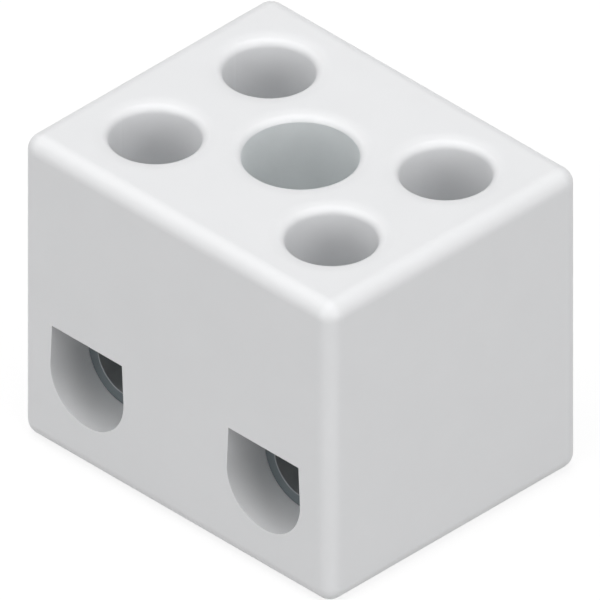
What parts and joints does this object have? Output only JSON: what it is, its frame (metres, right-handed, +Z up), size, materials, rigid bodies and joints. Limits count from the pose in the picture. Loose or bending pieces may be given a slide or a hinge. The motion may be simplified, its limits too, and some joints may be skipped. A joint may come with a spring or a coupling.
{
  "type": "porcelain terminal block",
  "caption": "Rectangular glazed porcelain terminal block with D-shaped wire entries, metal clamp inserts, slotted clamp screws under top access holes and a metal-lined central fixing hole.",
  "frame": {"origin": "middle of the flat underside", "axes": "+X runs from the left pole to the right pole, -Y is the front face with its two wire entries, and +Z is up along the fixing hole"},
  "size_m": [0.022, 0.0178, 0.0184],
  "materials": {
    "glazed_porcelain": "gloss",
    "sleeve_metal": "satin",
    "insert_metal": "satin",
    "screw_metal": "satin"
  },
  "bodies": {
    "block": {"ceramic_body": "glazed_porcelain", "fixing_sleeve": "sleeve_metal", "terminal_insert_left": "insert_metal", "terminal_insert_right": "insert_metal"},
    "left_front_screw": {"clamp_screw_left_front": "screw_metal"},
    "left_rear_screw": {"clamp_screw_left_rear": "screw_metal"},
    "right_front_screw": {"clamp_screw_right_front": "screw_metal"},
    "right_rear_screw": {"clamp_screw_right_rear": "screw_metal"}
  },
  "joints": [
    {"name": "left_front_clamp_travel", "type": "slide", "parent": "block", "child": "left_front_screw", "axis": [0, 0, 1], "range_m": [-0.0032, 0]},
    {"name": "left_rear_clamp_travel", "type": "slide", "parent": "block", "child": "left_rear_screw", "axis": [0, 0, 1], "range_m": [-0.0032, 0]},
    {"name": "right_front_clamp_travel", "type": "slide", "parent": "block", "child": "right_front_screw", "axis": [0, 0, 1], "range_m": [-0.0032, 0]},
    {"name": "right_rear_clamp_travel", "type": "slide", "parent": "block", "child": "right_rear_screw", "axis": [0, 0, 1], "range_m": [-0.0032, 0]}
  ]
}
